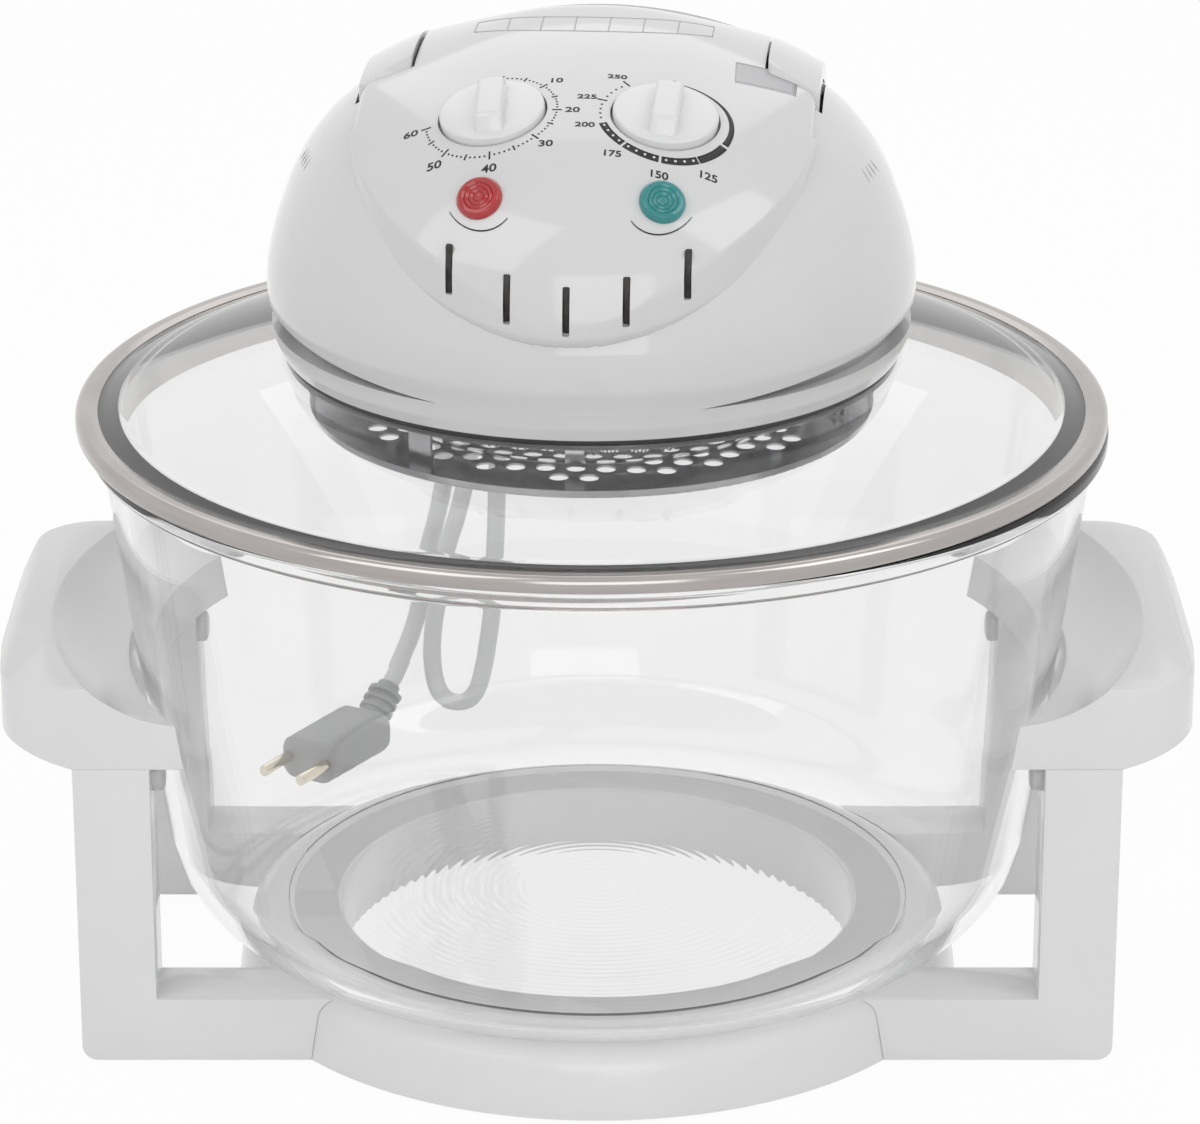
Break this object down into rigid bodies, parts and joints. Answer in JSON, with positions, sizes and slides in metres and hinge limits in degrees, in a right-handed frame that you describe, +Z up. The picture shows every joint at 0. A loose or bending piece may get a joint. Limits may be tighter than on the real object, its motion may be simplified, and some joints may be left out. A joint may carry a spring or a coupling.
{
  "type": "halogen oven",
  "caption": "Countertop halogen oven: deep glass bowl on a moulded stand with side handles, under a lift-off glass lid carrying a domed heater and fan head with two dials.",
  "frame": {"origin": "on the table, under the middle of the stand", "axes": "+X to the right side handle, -Y towards the user and the dials, +Z up along the bowl's axis"},
  "size_m": [0.389, 0.3833, 0.3268],
  "materials": {
    "bowl_glass": "thick clear heat-proof glass",
    "lid_glass": "clear heat-proof glass",
    "stand_plastic": "fine white moulded surface",
    "foot_rubber": "soft matt rubber",
    "screw_steel": "zinc-plated",
    "polished_band": "bright polished sheet",
    "seal_rubber": "heat-proof rubber",
    "head_plastic": "white, glossy",
    "panel_plastic": "white, glossy",
    "handle_plastic": "white, glossy",
    "knob_plastic": "white, glossy",
    "bracket_steel": "plated sheet",
    "shaft_steel": "ground steel",
    "unit_plastic": "moulded",
    "red_lens": "coloured clear plastic lens",
    "green_lens": "coloured clear plastic lens",
    "neon_glass": "small glass lamps",
    "motor_steel": "plated laminations",
    "fan_sheet": "pressed sheet",
    "fan_plastic": "moulded",
    "shield_sheet": "bright sheet",
    "insulation": "pale mineral wool",
    "quartz_glass": "clear quartz",
    "filament_wire": "dark wire coil",
    "end_ceramic": "white ceramic",
    "clip_steel": "spring steel",
    "guard_sheet": "bright perforated sheet",
    "terminal_plastic": "moulded",
    "lead_insulation": "coloured lead sleeves",
    "gland_rubber": "pale grey moulded rubber",
    "cord_sheath": "pale grey smooth sheath",
    "tie_plastic": "strip",
    "plug_rubber": "grey moulded rubber",
    "plug_plastic": "grey, moulded",
    "pin_brass": "plated pins"
  },
  "bodies": {
    "stand": {"base_ring": "stand_plastic", "right_leg_frame": "stand_plastic", "left_leg_frame": "stand_plastic", "right_side_handle": "stand_plastic", "left_side_handle": "stand_plastic", "rubber_feet": "foot_rubber", "bowl_bumpers": "foot_rubber", "handle_screws": "screw_steel"},
    "bowl": {"glass_bowl": "bowl_glass"},
    "lid": {"lid_rim_band": "polished_band", "lid_seal": "seal_rubber", "lid_glass": "lid_glass", "head_collar": "head_plastic", "upper_housing": "head_plastic", "control_panel": "panel_plastic", "hinge_plates": "bracket_steel", "timer_unit": "unit_plastic", "thermostat_unit": "unit_plastic", "power_lamp_lens": "red_lens", "heat_lamp_lens": "green_lens", "neon_lamps": "neon_glass", "motor_bracket": "bracket_steel", "fan_motor": "motor_steel", "motor_screws": "screw_steel", "clamp_ring": "bracket_steel", "clamp_screws": "screw_steel", "heat_shield": "shield_sheet", "insulation_pad": "insulation", "halogen_tube": "quartz_glass", "lamp_filament": "filament_wire", "tube_end_caps": "end_ceramic", "tube_clips": "clip_steel", "heater_guard": "guard_sheet", "guard_straps": "guard_sheet", "guard_screws": "screw_steel", "safety_switch": "unit_plastic", "terminal_block": "terminal_plastic", "inner_leads": "lead_insulation", "cord_gland": "gland_rubber", "mains_lead": "cord_sheath", "cord_hank": "cord_sheath", "hank_tie": "tie_plastic", "lead_loop": "cord_sheath", "plug_lead": "cord_sheath", "plug_strain_relief": "plug_rubber", "plug_body": "plug_plastic", "plug_pins": "pin_brass"},
    "handle": {"carry_handle": "handle_plastic", "handle_pins": "bracket_steel"},
    "timer": {"timer_knob": "knob_plastic", "timer_shaft": "shaft_steel"},
    "thermostat": {"thermostat_knob": "knob_plastic", "thermostat_shaft": "shaft_steel"},
    "fans": {"fan_shaft": "shaft_steel", "convection_fan": "fan_sheet", "cooling_fan": "fan_plastic", "fan_nut": "screw_steel"}
  },
  "joints": [
    {"name": "bowl_lift", "type": "slide", "parent": "stand", "child": "bowl", "axis": [0, 0, 1], "range_m": [0, 0.2]},
    {"name": "lid_lift", "type": "slide", "parent": "bowl", "child": "lid", "axis": [0, 0, 1], "range_m": [0, 0.16]},
    {"name": "handle_swing", "type": "hinge", "parent": "lid", "child": "handle", "pos_m": [-0.00161, 0.00399, 0.303], "axis": [0.9973, -0.0732, 0], "range_deg": [0, 90]},
    {"name": "timer_turn", "type": "hinge", "parent": "lid", "child": "timer", "pos_m": [-0.03267, -0.05038, 0.31371], "axis": [-0.1392, -0.2825, 0.9491], "range_deg": [-270, 0]},
    {"name": "thermostat_turn", "type": "hinge", "parent": "lid", "child": "thermostat", "pos_m": [0.02118, -0.05434, 0.31371], "axis": [0.0964, -0.2999, 0.9491], "range_deg": [-310, 0]},
    {"name": "fan_spin", "type": "hinge", "parent": "lid", "child": "fans", "pos_m": [-0.0019, 0, 0.26], "axis": [0, 0, 1], "continuous": true}
  ]
}
